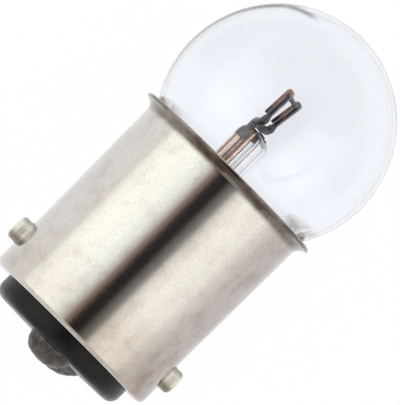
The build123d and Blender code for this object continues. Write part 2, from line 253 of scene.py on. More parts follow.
def begin(primitive, name, **placing):
    """Adds a primitive by itself, with its place in its mesh, and opens it for editing."""
    bpy.ops.object.select_all(action="DESELECT")
    primitive(**placing)
    piece = bpy.context.object
    piece.name = name
    bpy.ops.object.transform_apply(location=True, rotation=True, scale=True)
    bpy.ops.object.mode_set(mode="EDIT")
    return piece


def pick(piece, wanted, kind="VERT"):
    """Selects the vertices, edges or faces of the open piece for which wanted is true."""
    bpy.ops.mesh.select_mode(type=kind)
    bpy.ops.mesh.select_all(action="DESELECT")
    mesh = bmesh.from_edit_mesh(piece.data)
    for part in {"VERT": mesh.verts, "EDGE": mesh.edges, "FACE": mesh.faces}[kind]:
        if wanted(part):
            part.select_set(True)
    mesh.select_flush(True)
    bmesh.update_edit_mesh(piece.data)


def pick_ring(piece, radius, height, slack=0.02 * MM):
    """Selects the ring of the open piece at a radius and a height."""
    def on_ring(edge):
        return all(
            abs(v.co.z - height) < slack and abs(math.hypot(v.co.x, v.co.y) - radius) < slack
            for v in edge.verts
        )

    pick(piece, on_ring, "EDGE")


def round_ring(piece, radius, height, amount, segments=8):
    """Bevels the ring of the open piece at a radius and a height."""
    pick_ring(piece, radius, height)
    bpy.ops.mesh.bevel(offset=amount, offset_type="OFFSET", segments=segments, affect="EDGES")


def draw_through(stations):
    """Draws the selected ring through (radius, height) stations; a radius of 0 closes it."""
    radius, height = stations[0]
    for next_radius, next_height in stations[1:]:
        bpy.ops.mesh.extrude_edges_move(
            TRANSFORM_OT_translate={"value": (0, 0, next_height - height)}
        )
        if next_radius == 0:
            bpy.ops.mesh.merge(type="CENTER")
            break
        share = next_radius / radius
        bpy.ops.transform.resize(value=(share, share, 1), center_override=(0, 0, next_height))
        radius, height = next_radius, next_height


def raised_skin(name, stations, steps=128):
    """A skin drawn from a ring through (radius, height) stations."""
    radius, height = stations[0]
    piece = begin(
        bpy.ops.mesh.primitive_circle_add, name, vertices=steps, radius=radius,
        location=(0, 0, height),
    )
    draw_through(stations)
    return piece


def arc_stations(centre, radius, start, end, count):
    """Stations along an arc of the profile; the angles are in degrees from level."""
    turns = (math.radians(start + (end - start) * k / count) for k in range(1, count + 1))
    return [(centre[0] + radius * math.cos(t), centre[1] + radius * math.sin(t)) for t in turns]


def close_foot(piece, radius, height):
    """Closes the open ring at the foot of a skin to a point."""
    pick_ring(piece, radius, height)
    bpy.ops.mesh.extrude_edges_move(TRANSFORM_OT_translate={"value": (0, 0, 0)})
    bpy.ops.mesh.merge(type="CENTER")


def is_open(edge):
    """Whether an edge bounds a hole."""
    return len(edge.link_faces) == 1


def row_turn(turn):
    """Turns a row along x until it leans by this much from upright."""
    return Matrix.Rotation(math.pi / 2 - turn, 4, "Z")


def outwards():
    """Turns the faces of the open piece outwards."""
    bpy.ops.mesh.select_all(action="SELECT")
    bpy.ops.mesh.remove_doubles(threshold=0.001 * MM)
    bpy.ops.mesh.normals_make_consistent(inside=False)


def finish_modifier(piece, kind, **values):
    """Adds a modifier with these values and applies it."""
    modifier = piece.modifiers.new(kind.title(), kind)
    for key, value in values.items():
        setattr(modifier, key, value)
    bpy.ops.object.modifier_apply(modifier=modifier.name)


def laid(piece, material, slot, *nodes, angle=40.0, at=None):
    """Lays a finished piece where the part lies, in its finish and on its body."""
    if bpy.context.mode != "OBJECT":
        bpy.ops.object.mode_set(mode="OBJECT")
    bpy.ops.object.select_all(action="DESELECT")
    piece.select_set(True)
    bpy.context.view_layer.objects.active = piece
    bpy.ops.object.shade_smooth_by_angle(angle=math.radians(angle))
    piece.matrix_world = LYING @ (at or Matrix.Identity(4))
    bpy.ops.object.transform_apply(location=True, rotation=True, scale=True)
    piece.data.materials.clear()
    piece.data.materials.append(material)
    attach(piece, "root")
    if nodes:
        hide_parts(*nodes)
    return piece


def refinish(material, *names):
    """Gives CAD nodes that stay as they are a better material."""
    for name in names:
        mesh = frame["nodes"][name].data
        mesh.materials.clear()
        mesh.materials.append(material)


# Finishes


def add(tree, kind, inputs=None, **settings):
    """A node of a tree, with its settings, and its inputs linked or given a value."""
    made = tree.nodes.new(kind)
    for name, value in settings.items():
        setattr(made, name, value)
    for socket, value in (inputs or {}).items():
        if isinstance(value, bpy.types.NodeSocket):
            tree.links.new(value, made.inputs[socket])
        else:
            made.inputs[socket].default_value = value
    return made


def math_node(tree, operation, first, second=0.0):
    """The result of one sum on two values."""
    return add(tree, "ShaderNodeMath", {0: first, 1: second}, operation=operation).outputs[0]


def times(tree, first, second):
    """The product of two values."""
    return math_node(tree, "MULTIPLY", first, second)


def dot(tree, vector, way):
    """How far a place lies along a direction."""
    return add(
        tree, "ShaderNodeVectorMath", {0: vector, 1: way}, operation="DOT_PRODUCT"
    ).outputs["Value"]


def parted(tree, vector):
    """The X, Y and Z of a place."""
    return add(tree, "ShaderNodeSeparateXYZ", {0: vector}).outputs


def noise(tree, vector, scale, detail, roughness=0.5, distortion=0.0):
    """Soft noise over a surface."""
    return add(
        tree, "ShaderNodeTexNoise",
        {"Vector": vector, "Scale": scale, "Detail": detail, "Roughness": roughness,
         "Distortion": distortion},
    ).outputs["Fac"]


def spread(tree, value, low, high, to_low=0.0, to_high=1.0):
    """A value spread from one range to another, with soft ends."""
    return add(
        tree, "ShaderNodeMapRange",
        {"Value": value, "From Min": low, "From Max": high, "To Min": to_low, "To Max": to_high},
        interpolation_type="SMOOTHSTEP",
    ).outputs["Result"]


def blended(tree, factor, first, second, blend="MIX"):
    """Two colours mixed by a factor."""
    return add(
        tree, "ShaderNodeMix", {0: factor, 6: first, 7: second}, data_type="RGBA",
        blend_type=blend,
    ).outputs[2]


def rgba(colour):
    """A colour with full alpha."""
    return (*colour, 1.0)


def darker(colour, share):
    """A colour at a share of its brightness."""
    return tuple(c * share for c in colour)


def new_group(name, inputs, outputs):
    """An empty shader node group with its sockets, and its two end nodes."""
    tree = bpy.data.node_groups.new(name, "ShaderNodeTree")
    for label, kind, default in inputs:
        socket = tree.interface.new_socket(label, in_out="INPUT", socket_type=kind)
        if default is not None:
            socket.default_value = default
    for label, kind in outputs:
        tree.interface.new_socket(label, in_out="OUTPUT", socket_type=kind)
    return tree, tree.nodes.new("NodeGroupInput"), tree.nodes.new("NodeGroupOutput")


def surface_marks_group():
    """Mottling, small specks and fine grain of a handled surface."""
    tree, given, result = new_group(
        "surface_marks",
        [
            ("Vector", "NodeSocketVector", None),
            ("Mottle Scale", "NodeSocketFloat", 2.0),
            ("Speck Scale", "NodeSocketFloat", 4.0),
            ("Speck Share", "NodeSocketFloat", 0.2),
        ],
        [
            ("Mottle", "NodeSocketFloat"),
            ("Specks", "NodeSocketFloat"),
            ("Height", "NodeSocketFloat"),
        ],
    )
    vector, scale = given.outputs["Vector"], given.outputs["Mottle Scale"]
    mottle = noise(tree, vector, scale, 8.0, 0.7)
    speck = noise(tree, vector, given.outputs["Speck Scale"], 3.0, 0.6, 0.4)
    edge = math_node(tree, "SUBTRACT", 0.78, times(tree, given.outputs["Speck Share"], 0.3))
    specks = spread(tree, math_node(tree, "SUBTRACT", speck, edge), 0.0, 0.05)
    fine = noise(tree, vector, times(tree, scale, 9.0), 4.0, 0.6)
    height = math_node(
        tree, "SUBTRACT", math_node(tree, "ADD", fine, mottle), times(tree, specks, 0.6)
    )
    tree.links.new(spread(tree, mottle, 0.3, 0.7), result.inputs["Mottle"])
    tree.links.new(specks, result.inputs["Specks"])
    tree.links.new(height, result.inputs["Height"])


def bulb_coordinates(tree):
    """Object coordinates turned back to the bulb's own frame, in millimetres."""
    place = add(tree, "ShaderNodeTexCoord").outputs["Object"]
    return add(
        tree, "ShaderNodeMapping",
        {"Vector": place, "Location": LYING.to_translation(), "Rotation": LYING.to_euler(),
         "Scale": (MM, MM, MM)},
        vector_type="TEXTURE",
    ).outputs["Vector"]


def new_finish(name):
    """A material with an empty tree, its Principled node and the bulb's coordinates."""
    material = bpy.data.materials.new(name)
    material.use_nodes = True
    tree = material.node_tree
    tree.nodes.clear()
    shader = tree.nodes.new("ShaderNodeBsdfPrincipled")
    output = tree.nodes.new("ShaderNodeOutputMaterial")
    tree.links.new(shader.outputs[0], output.inputs["Surface"])
    return material, tree, shader, bulb_coordinates(tree)


def marks(tree, vector, mottle_scale, speck_scale, speck_share):
    """The shared surface marks, placed in a material."""
    return add(
        tree, "ShaderNodeGroup",
        {"Vector": vector, "Mottle Scale": mottle_scale, "Speck Scale": speck_scale,
         "Speck Share": speck_share},
        node_tree=bpy.data.node_groups["surface_marks"],
    ).outputs


def mottled(tree, found, dull, bright):
    """A value that follows the mottling, from its dull patches to its bright ones."""
    return spread(tree, found["Mottle"], 0.0, 1.0, dull, bright)


def shaded_and_stained(tree, shader, shade_and_stain_marks):
    """Darkens the shader's colour by marks of painted shade and stain, each a share and a
    colour.
    """
    body = shader.inputs["Base Color"].links[0].from_socket
    for share, colour in shade_and_stain_marks:
        body = blended(tree, share, body, rgba(colour), "MULTIPLY")
    tree.links.new(body, shader.inputs["Base Color"])


def bumped(tree, shader, height, strength, distance):
    """Drives the shader's normal from a height."""
    bump = add(
        tree, "ShaderNodeBump",
        {"Strength": strength, "Distance": distance * MM, "Height": height},
    )
    tree.links.new(bump.outputs[0], shader.inputs["Normal"])


def glass_finish(name, colour, waves, edge=(0.9, 0.9, 0.9)):
    """Clear glass, a little uneven, with hazy specks and painted shade towards its edge."""
    material, tree, shader, vector = new_finish(name)
    shader.inputs["Transmission Weight"].default_value = 1.0
    shader.inputs["IOR"].default_value = 1.5
    found = marks(tree, vector, 0.35, 2.0, 0.1)
    pale = tuple(1 - (1 - c) * 0.7 for c in colour)
    body = blended(tree, found["Mottle"], rgba(colour), rgba(pale))
    # Painted shade: the glass's colour darkens to the edge colour where its surface turns away
    # from the view
    edge_shade_mask = add(tree, "ShaderNodeLayerWeight", {"Blend": 0.5}).outputs["Facing"]
    body = blended(tree, spread(tree, edge_shade_mask, 0.78, 0.93), body, rgba(edge), "MULTIPLY")
    tree.links.new(body, shader.inputs["Base Color"])
    tree.links.new(
        spread(tree, found["Specks"], 0.0, 1.0, 0.0, 0.05), shader.inputs["Roughness"]
    )
    bumped(tree, shader, noise(tree, vector, 0.22, 1.0), waves, 0.5)
    return material, tree, shader, vector, body


def metal_finish(name, bright, dull, rough, mottle_scale, specks, relief, metallic=1.0):
    """Plated or bare metal with duller patches, dark specks and fine relief."""
    material, tree, shader, vector = new_finish(name)
    found = marks(tree, vector, mottle_scale, mottle_scale * 2.2, specks)
    body = blended(tree, found["Mottle"], rgba(dull), rgba(bright))
    body = blended(tree, found["Specks"], body, rgba(darker(dull, 0.35)))
    tree.links.new(body, shader.inputs["Base Color"])
    shader.inputs["Metallic"].default_value = metallic
    low, high = rough
    tree.links.new(mottled(tree, found, high, low), shader.inputs["Roughness"])
    bumped(tree, shader, found["Height"], 0.5, relief)
    return material, tree, shader, vector


def cement_finish():
    """Pale brown, crumbly cement."""
    material, tree, shader, vector = new_finish("cap_cement")
    found = marks(tree, vector, 2.0, 5.0, 0.5)
    tree.links.new(
        blended(tree, found["Mottle"], rgba((0.30, 0.24, 0.17)), rgba((0.55, 0.48, 0.38))),
        shader.inputs["Base Color"],
    )
    shader.inputs["Roughness"].default_value = 0.85
    bumped(tree, shader, found["Height"], 0.8, 0.1)
    return material


# Operators


class BULB_OT_globe(bpy.types.Operator):
    """Blow the clear globe with its neck"""

    bl_idname = "bulb.globe"
    bl_label = "Globe"

    def execute(self, context):
        glass = context.scene.bulb.glass
        radius, height = glass.globe_radius, glass.globe_height
        blend, neck = glass.neck_blend, glass.neck_radius
        drop = math.sqrt((radius + blend) ** 2 - (neck + blend) ** 2)
        share = radius / (radius + blend)
        ring = ((neck + blend) * share, height - drop * share)
        piece = begin(
            bpy.ops.mesh.primitive_uv_sphere_add, "blown_globe", segments=128, ring_count=72,
            radius=radius, location=(0, 0, height),
        )
        bpy.ops.mesh.bisect(plane_co=(0, 0, ring[1]), plane_no=(0, 0, 1), clear_inner=True)
        pick_ring(piece, *ring)
        fall = 180 - math.degrees(math.asin(drop / (radius + blend)))
        curve = arc_stations((neck + blend, height - drop), blend, fall, 180, 8)
        draw_through([ring, *curve, (neck, glass.neck_end)])
        pick(piece, lambda v: v.co.z > height + 0.01 * MM)
        bpy.ops.transform.resize(
            value=(1, 1, 1 + glass.globe_stretch / radius), center_override=(0, 0, height)
        )
        outwards()
        bpy.ops.object.mode_set(mode="OBJECT")
        finish_modifier(piece, "SOLIDIFY", thickness=glass.wall, offset=-1, use_even_offset=True)
        # The edge colour here is painted shade that darkens the globe towards its edge
        material, tree, shader, vector, body = glass_finish(
            "clear_glass", glass.clear, waves=0.025, edge=(0.55, 0.56, 0.58)
        )
        self.paint_glass_reflections(tree, shader, vector, body, glass)
        laid(piece, material, "clear_glass", "glass_globe", angle=60)
        return {"FINISHED"}

    def paint_glass_reflections(self, tree, shader, vector, body, glass):
        """Paints a dark reflection line and grey reflections over the rim into the glass's
        colour, and roughens the back of its crown.
        """
        place = parted(tree, vector)
        aside = dot(tree, vector, GLASS_ASIDE)
        rise = dot(tree, vector, GLASS_RISE)
        rise = math_node(tree, "SUBTRACT", rise, glass.globe_height / MM)
        # Painted reflection: a dark line with a hook up one side of the front of the globe
        line = self.painted_reflection_line(tree, aside, rise, place["Y"])
        body = blended(tree, line, body, rgba(GLASS_REFLECTION_LINE))
        # Painted reflection: grey and rippled, low on both sides of the globe over the cap's rim
        rim_reflection = self.rim_reflections(tree, vector, place)
        body = blended(tree, rim_reflection, body, rgba(GLASS_RIM_REFLECTION))
        tree.links.new(body, shader.inputs["Base Color"])
        back, crown = spread(tree, place["Y"], -2.0, -5.0), spread(tree, rise, -3.0, 0.5)
        rougher = times(tree, times(tree, back, crown), 0.2)
        clean = shader.inputs["Roughness"].links[0].from_socket
        tree.links.new(math_node(tree, "ADD", clean, rougher), shader.inputs["Roughness"])

    def painted_reflection_line(self, tree, aside, rise, depth):
        """A painted dark reflection: a line up one side of the front that ends in a hook turned
        inwards.
        """
        turn = math_node(tree, "ARCTAN2", rise, aside)
        reach = math_node(
            tree, "SQRT",
            math_node(tree, "ADD", times(tree, rise, rise), times(tree, aside, aside)),
        )
        # The hook runs from the glass's edge inwards: radians of turn, millimetres of reach
        hook_foot, hook_tip = (0.86, 8.98), (1.15, 8.42)
        course = add(
            tree, "ShaderNodeMapRange",
            {"Value": turn, "From Min": hook_foot[0], "From Max": hook_tip[0],
             "To Min": hook_foot[1], "To Max": hook_tip[1]},
            clamp=True,
        ).outputs["Result"]
        off = math_node(tree, "ABSOLUTE", math_node(tree, "SUBTRACT", reach, course))
        hook = times(tree, spread(tree, off, 0.24, 0.03), spread(tree, turn, 0.5, 0.9))
        hook = times(tree, hook, spread(tree, turn, 1.2, 1.06))
        # The painted reflection line fills the edge from its inner side outwards and fades at
        # both ends
        side = times(tree, spread(tree, turn, -0.7, 0.1), spread(tree, turn, 1.1, 0.8))
        inner_side = spread(tree, turn, 0.3, 0.75, 8.84, 8.82)
        inside = math_node(tree, "SUBTRACT", reach, inner_side)
        side = times(tree, side, spread(tree, inside, 0.0, 0.07))
        dark = math_node(tree, "MAXIMUM", times(tree, hook, 0.9), side)
        front = spread(tree, depth, -0.8, 0.0)
        return times(tree, dark, front)

    def rim_reflections(self, tree, vector, place):
        """Painted rippled grey reflections low on both sides of the globe, over the cap's rim.
        """
        wide = math_node(tree, "ABSOLUTE", place["X"])
        low = math_node(tree, "ADD", place["Z"], times(tree, place["X"], 0.06))
        rim_reflection = times(tree, spread(tree, low, 15.3, 14.5), spread(tree, wide, 5.4, 7.0))
        return times(tree, rim_reflection, spread(tree, noise(tree, vector, 0.8, 1.5), 0.38, 0.6))


class BULB_OT_stem(bpy.types.Operator):
    """Draw the stem from its flare to the flat pinch round the wires"""

    bl_idname = "bulb.stem"
    bl_label = "Stem"

    def execute(self, context):
        glass = context.scene.bulb.glass
        bore = glass.stem_radius - glass.stem_wall
        bore_top = glass.pinch_low - 0.4 * MM
        flare = glass.neck_radius - glass.wall
        piece = raised_skin(
            "glass_mount_stem",
            [
                (bore, bore_top),
                (bore, glass.neck_end + 3.0 * MM),
                (bore * 1.3, glass.neck_end + 1.6 * MM),
                (flare * 0.86, glass.neck_end + 0.5 * MM),
                (flare, glass.neck_end),
                (flare * 0.9, glass.neck_end + 1.0 * MM),
                (glass.stem_radius * 1.2, glass.neck_end + 2.4 * MM),
                (glass.stem_radius, glass.neck_end + 4.0 * MM),
                (glass.stem_radius, glass.pinch_low),
            ],
            steps=64,
        )
        close_foot(piece, bore, bore_top)
        self.press_pinch(piece, glass)
        outwards()
        bpy.ops.mesh.flip_normals()
        material = glass_finish("stem_glass", glass.stem_tint, waves=0.05)[0]
        at = row_turn(context.scene.bulb.mount.turn)
        laid(piece, material, "stem_glass", "glass_stem", angle=50, at=at)
        refinish(material, "exhaust_tube")
        return {"FINISHED"}

    def press_pinch(self, piece, glass):
        """Adds the flat, rounded pinch and draws the top of the tube into it."""
        middle = (0, -glass.pinch_offset, (glass.pinch_full + glass.pinch_top) / 2)
        bpy.ops.mesh.select_all(action="DESELECT")
        bpy.ops.mesh.primitive_cube_add(size=1, location=middle)
        bpy.ops.transform.resize(
            value=(glass.pinch_width, glass.pinch_thickness, glass.pinch_top - glass.pinch_full),
            center_override=middle,
        )
        pick(
            piece,
            lambda e: e.verts[0].co.z > glass.pinch_full - 0.1 * MM
            and abs(e.verts[0].co.z - e.verts[1].co.z) > MM,
            "EDGE",
        )
        bpy.ops.mesh.bevel(offset=glass.pinch_corner, segments=8, affect="EDGES")
        pick(piece, lambda e: min(v.co.z for v in e.verts) > glass.pinch_top - 0.01 * MM, "EDGE")
        bpy.ops.mesh.bevel(offset=glass.pinch_corner * 0.6, segments=6, affect="EDGES")

        def is_underside(face):
            level = abs(face.calc_center_median().z - glass.pinch_full) < 0.01 * MM
            return level and abs(face.normal.z) > 0.9 and face.calc_area() > MM * MM

        pick(piece, is_underside, "FACE")
        bpy.ops.mesh.delete(type="ONLY_FACE")
        pick(piece, is_open, "EDGE")
        bpy.ops.mesh.bridge_edge_loops(
            number_cuts=8, interpolation="SURFACE", smoothness=0.8, profile_shape_factor=0.0
        )


class BULB_OT_cap(bpy.types.Operator):
    """Draw the plated shell with its flared rim and rolled-in foot"""

    bl_idname = "bulb.cap"
    bl_label = "Cap shell"

    def execute(self, context):
        cap = context.scene.bulb.cap
        insulator = context.scene.bulb.contacts.insulator_radius
        flare, lift = cap.rim_radius - cap.top_radius, cap.rim_height - cap.flare_height
        piece = raised_skin(
            "drawn_shell",
            [
                (insulator, cap.foot_height),
                (cap.foot_radius, cap.foot_height),
                (cap.foot_radius, cap.band_height),
                (cap.waist_radius, cap.waist_height),
                ((cap.waist_radius + cap.top_radius) / 2, cap.flare_height * 0.5),
                (cap.top_radius, cap.flare_height - 0.3 * MM),
                *(
                    (cap.top_radius + flare * share, cap.flare_height + lift * height)
                    for share, height in FLARE
                ),
            ],
            steps=160,
        )
        round_ring(piece, cap.foot_radius, cap.foot_height, cap.foot_round)
        outwards()
        bpy.ops.mesh.flip_normals()
        bpy.ops.object.mode_set(mode="OBJECT")
        finish_modifier(piece, "SOLIDIFY", thickness=cap.wall, offset=-1, use_even_offset=True)
        finish_modifier(
            piece, "BEVEL", width=0.1 * MM, segments=3, limit_method="ANGLE",
            angle_limit=math.radians(50),
        )
        material, tree, shader, vector = metal_finish(
            "cap_nickel", cap.nickel, cap.nickel_dull, rough=(0.10, 0.15), mottle_scale=4.5,
            specks=0.24, relief=0.0012,
        )
        self.shade_and_tarnish(tree, shader, vector, cap)
        laid(piece, material, "cap_nickel", "cap_shell", angle=35)
        refinish(cement_finish(), "basing_cement")
        return {"FINISHED"}

    def shade_and_tarnish(self, tree, shader, vector, cap):
        """Darkens the plating: painted shade down both sides, a painted dark reflection over the
        flare under the rim, darker towards the foot and duller in clouds.
        """
        place = parted(tree, vector)
        aside, height = place["X"], place["Z"]
        cloud = noise(tree, vector, 0.55, 5.0, 0.65)
        uneven = spread(tree, cloud, 0.3, 0.7, 0.75, 1.15)
        flare, rim = cap.flare_height / MM, cap.rim_height / MM
        below_edge = spread(tree, height, rim + 0.28, rim + 0.14)
        wide = math_node(tree, "ABSOLUTE", aside)
        middle = times(tree, below_edge, spread(tree, wide, 7.5, 1.5, 0.45, 1.0))
        foot = times(
            tree, spread(tree, height, 3.5, -1.6), spread(tree, aside, 5.0, -1.0, 0.45, 1.0)
        )
        # Painted reflection over the flare under the rim, darkest in the middle
        flare_reflection_grey = times(tree, spread(tree, height, flare - 0.2, flare + 0.35), below_edge)
        flare_reflection_dark = times(tree, spread(tree, height, flare - 0.1, flare + 0.5), middle)
        shade_and_stain_marks = (
            # Painted shade down the right side
            (spread(tree, aside, -3.3, -6.7), (0.64, 0.595, 0.59)),
            # Painted shade at the left edge
            (spread(tree, aside, 6.7, 7.3), (0.92, 0.92, 0.94)),
            (foot, (0.83, 0.785, 0.735)),
            (flare_reflection_grey, (0.52, 0.49, 0.46)),
            (flare_reflection_dark, (0.22, 0.185, 0.165)),
            (spread(tree, cloud, 0.48, 0.68), (0.91, 0.885, 0.875)),
        )
        shaded_and_stained(tree, shader, [(times(tree, share, uneven), colour) for share, colour in shade_and_stain_marks])


class BULB_OT_pins(bpy.types.Operator):
    """Turn the two bayonet pins"""

    bl_idname = "bulb.pins"
    bl_label = "Bayonet pins"

    def execute(self, context):
        cap = context.scene.bulb.cap
        wall = cap.waist_radius
        inner_end = wall - 1.0 * MM
        piece = raised_skin(
            "bayonet_pin_a",
            [
                (cap.pin_root_radius, inner_end),
                (cap.pin_root_radius, wall - 0.06 * MM),
                (cap.pin_radius * 1.03, wall + cap.pin_root * 0.5),
                (cap.pin_radius, wall + cap.pin_root),
                (cap.pin_radius, cap.pin_reach),
                (0, cap.pin_reach),
            ],
            steps=64,
        )
        round_ring(piece, cap.pin_radius, cap.pin_reach, cap.pin_edge, 6)
        close_foot(piece, cap.pin_root_radius, inner_end)
        outwards()
        bpy.ops.object.mode_set(mode="OBJECT")
        twin = piece.copy()
        twin.data = piece.data.copy()
        twin.name = "bayonet_pin_b"
        context.scene.collection.objects.link(twin)
        material, tree, shader, vector = metal_finish(
            "pin_nickel", cap.pin_tone, darker(cap.pin_tone, 0.75), rough=(0.26, 0.38),
            mottle_scale=1.8, specks=0.3, relief=0.004, metallic=0.3,
        )
        height = parted(tree, vector)["Z"]
        # Painted reflections: each pin is darker towards the contacts and towards the globe
        shaded_and_stained(tree, shader, (
            (spread(tree, height, -0.15, -0.7), (0.4, 0.36, 0.31)),
            (spread(tree, height, 0.5, 0.9), (0.55, 0.55, 0.56)),
        ))
        left, right = (Matrix.Rotation(way * math.pi / 2, 4, "Y") for way in (1, -1))
        laid(piece, material, "pin_nickel", "bayonet_pin_left", at=left)
        laid(twin, material, "pin_nickel", "bayonet_pin_right", at=right)
        return {"FINISHED"}


class BULB_OT_contacts(bpy.types.Operator):
    """Mould the black insulator and drop the two solder contacts on it"""

    bl_idname = "bulb.contacts"
    bl_label = "Insulator and contacts"

    def execute(self, context):
        sizes = context.scene.bulb.contacts
        cap = context.scene.bulb.cap
        end = cap.foot_height - sizes.insulator_out
        self.mould_insulator(sizes, cap, end)
        solder = metal_finish(
            "contact_solder", sizes.solder_light, sizes.solder, rough=(0.3, 0.5),
            mottle_scale=1.3, specks=0.5, relief=0.05, metallic=0.9,
        )[0]
        domes = (
            (1, "upper", sizes.upper_height, 1.6 * MM),
            (-1, "lower", sizes.lower_height, 1.3 * MM),
        )
        for side, name, rise, lump_size in domes:
            self.drop_solder(sizes, end, solder, side, name, rise, lump_size)
        brass = metal_finish(
            "eyelet_brass", (0.68, 0.52, 0.30), (0.42, 0.31, 0.19), rough=(0.25, 0.4),
            mottle_scale=2.0, specks=0.3, relief=0.01,
        )[0]
        refinish(brass, "contact_eyelet_upper", "contact_eyelet_lower")
        return {"FINISHED"}

    def mould_insulator(self, sizes, cap, end):
        """The black insulator, seated on the rolled-in foot of the shell."""
        inside = cap.foot_radius - cap.wall
        ledge = cap.foot_height + cap.wall
        top = ledge + sizes.insulator_depth
        nose = end + sizes.insulator_crown
        crown = (sizes.insulator_radius * 0.5, end + sizes.insulator_crown * 0.25)
        piece = raised_skin(
            "moulded_insulator",
            [
                crown,
                (sizes.insulator_radius, nose),
                (sizes.insulator_radius, ledge),
                (inside, ledge),
                (inside, top),
                (0, top),
            ],
        )
        round_ring(piece, sizes.insulator_radius, nose, sizes.insulator_edge)
        round_ring(piece, inside, ledge, cap.foot_round - cap.wall, 4)
        close_foot(piece, *crown)
        outwards()
        black, tree, shader, vector = new_finish("black_insulator")
        found = marks(tree, vector, 1.2, 5.0, 0.3)
        tree.links.new(
            blended(tree, found["Specks"], rgba(sizes.black), rgba((0.10, 0.085, 0.09))),
            shader.inputs["Base Color"],
        )
        tree.links.new(mottled(tree, found, 0.2, 0.36), shader.inputs["Roughness"])
        shader.inputs["Specular IOR Level"].default_value = 0.18
        bumped(tree, shader, found["Height"], 0.5, 0.01)
        laid(piece, black, "black_insulator", "insulator", angle=45)

    def drop_solder(self, sizes, end, solder, side, name, rise, lump_size):
        """A lumpy dome of solder, cut from a ball, at one end of the row."""
        ball = (sizes.dome_radius**2 + rise**2) / (2 * rise)
        middle = end - rise + ball
        foot = end + 0.12 * MM
        start = math.asin((foot - middle) / ball)
        ring = (ball * math.cos(start), foot)
        skin = arc_stations((0, middle), ball, math.degrees(start), -90, 28)
        dome = raised_skin(f"solder_dome_{name}", [ring, *skin[:-1], (0, end - rise)], steps=96)
        close_foot(dome, *ring)
        outwards()
        bpy.ops.object.mode_set(mode="OBJECT")
        lumps = bpy.data.textures.new(f"solder_lumps_{name}", "CLOUDS")
        lumps.noise_scale = lump_size
        lumps.noise_depth = 1
        finish_modifier(dome, "DISPLACE", texture=lumps, strength=0.28 * MM, mid_level=0.62)
        spot = row_turn(sizes.turn) @ Matrix.Translation((side * sizes.spacing, sizes.aside, 0))
        laid(dome, solder, "contact_solder", f"solder_contact_{name}", at=spot)


class BULB_OT_wires(bpy.types.Operator):
    """Wind the filament and finish the leads and the sealed wires"""

    bl_idname = "bulb.wires"
    bl_label = "Wires and filament"

    def execute(self, context):
        sizes = context.scene.bulb.mount
        length, turns = sizes.coil_length, sizes.coil_turns
        piece = begin(
            bpy.ops.mesh.primitive_circle_add, "wound_filament", vertices=10,
            radius=sizes.wire_radius, rotation=(math.pi / 2, 0, 0),
            location=(sizes.coil_radius, 0, -length / 2),
        )
        bpy.ops.object.mode_set(mode="OBJECT")
        finish_modifier(
            piece, "SCREW", axis="Z", screw_offset=length / turns, iterations=turns, steps=16,
            render_steps=16, angle=math.tau, use_merge_vertices=False,
        )
        bpy.ops.object.mode_set(mode="EDIT")
        pick(piece, is_open, "EDGE")
        bpy.ops.mesh.fill()
        outwards()
        place = Matrix.Translation((0, -sizes.coil_aside, sizes.coil_height))
        spot = row_turn(sizes.turn) @ place @ Matrix.Rotation(math.pi / 2, 4, "Y")
        tungsten = metal_finish(
            "tungsten", sizes.tungsten, darker(sizes.tungsten, 0.6), rough=(0.3, 0.45),
            mottle_scale=6.0, specks=0.1, relief=0.004,
        )[0]
        laid(piece, tungsten, "tungsten", "filament", angle=60, at=spot)
        refinish(self.lead_finish(sizes), "inner_lead_near", "inner_lead_far")
        copper = metal_finish(
            "copper_wire", sizes.copper, darker(sizes.copper, 0.75), rough=(0.14, 0.24),
            mottle_scale=1.6, specks=0.1, relief=0.002,
        )[0]
        refinish(copper, "seal_wire_near", "seal_wire_far", "outer_lead_near", "outer_lead_far")
        return {"FINISHED"}

    def lead_finish(self, sizes):
        """Grey iron at the shoulders, dark straps above, and heated colours at the folds."""
        material, tree, shader, vector = new_finish("lead_metal")
        found = marks(tree, vector, 1.8, 5.0, 0.2)
        height = parted(tree, vector)["Z"]
        along = dot(tree, vector, (math.sin(sizes.turn), math.cos(sizes.turn), 0.0))
        across = dot(tree, vector, (math.cos(sizes.turn), -math.sin(sizes.turn), 0.0))
        # Heights above the pins, in millimetres
        is_strap = spread(tree, height, 18.95, 19.3)
        is_hot = spread(tree, height, 19.5, 20.3)
        is_fold = spread(tree, height, 21.1, 21.4)
        body = blended(tree, is_strap, rgba(sizes.lead), rgba(sizes.strap))
        heated = times(tree, is_hot, spread(tree, across, 0.32, 0.42))
        heated = times(tree, heated, mottled(tree, found, 0.4, 1.0))
        body = blended(tree, heated, body, rgba(sizes.heated))
        near = spread(tree, along, -0.5, 0.5)
        fold = blended(tree, near, rgba(sizes.knob), rgba(sizes.heated))
        body = blended(tree, is_fold, body, fold)
        tree.links.new(body, shader.inputs["Base Color"])
        shader.inputs["Metallic"].default_value = 0.8
        tree.links.new(mottled(tree, found, 0.42, 0.28), shader.inputs["Roughness"])
        bumped(tree, shader, found["Height"], 0.5, 0.01)
        return material


